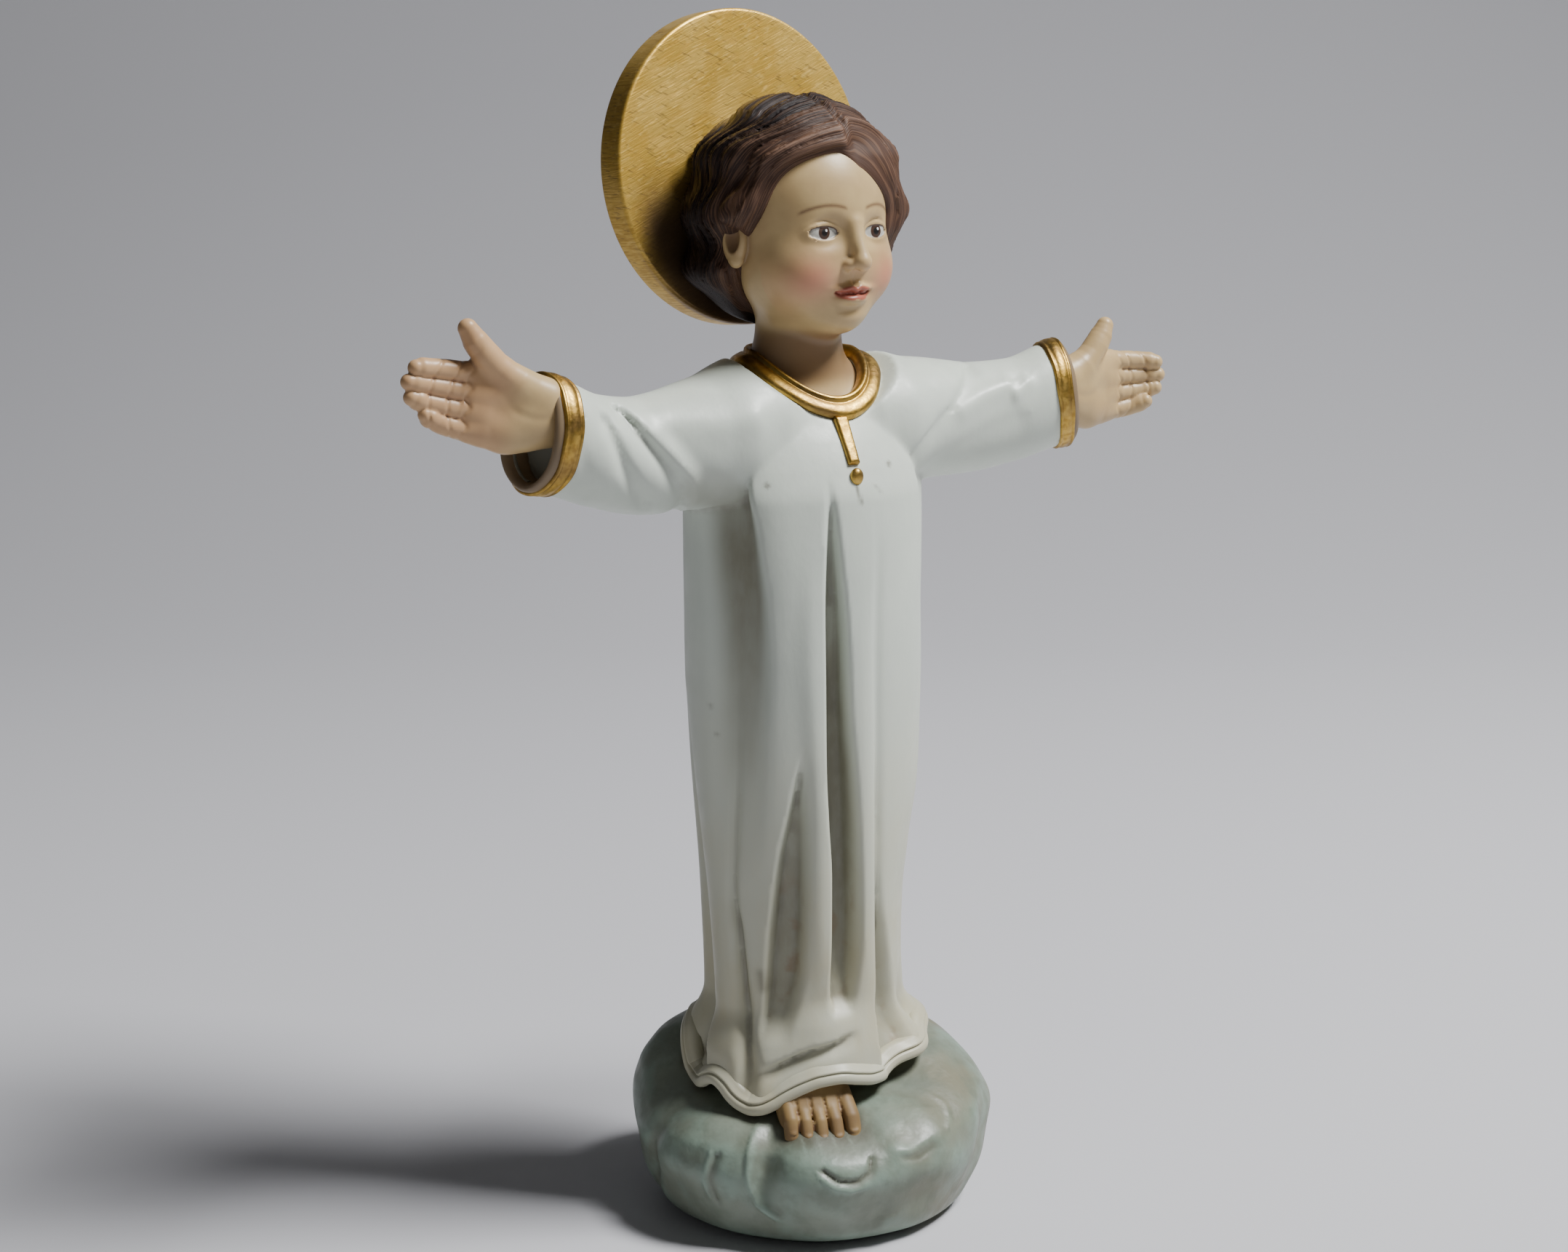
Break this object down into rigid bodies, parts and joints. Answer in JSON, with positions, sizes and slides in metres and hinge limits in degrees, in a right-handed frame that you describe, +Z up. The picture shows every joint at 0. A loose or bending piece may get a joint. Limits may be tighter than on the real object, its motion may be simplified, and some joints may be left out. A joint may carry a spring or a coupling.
{
  "type": "child jesus statue",
  "caption": "Painted cast figure of a robed child with open arms, standing on a lumpy cloud, with a thick gilded disc halo behind the head.",
  "frame": {"origin": "middle of the cloud's flat underside", "axes": "+Z up, the figure faces -Y, its left arm points along +X"},
  "size_m": [0.2124, 0.0905, 0.3],
  "materials": {
    "robe_white": "satin off-white paint with brown wash in the folds",
    "skin": "satin flesh paint, rosy on the cheeks and palms",
    "hair_brown": "satin dark brown paint, lighter on the front locks",
    "gilding": "brushed-on gold paint with fine streaks",
    "cloud_green": "satin grey-green paint, paler turquoise on the ridges"
  },
  "bodies": {
    "root": {"child_figure_on_cloud": "robe_white", "halo_disc": "gilding"}
  },
  "joints": []
}
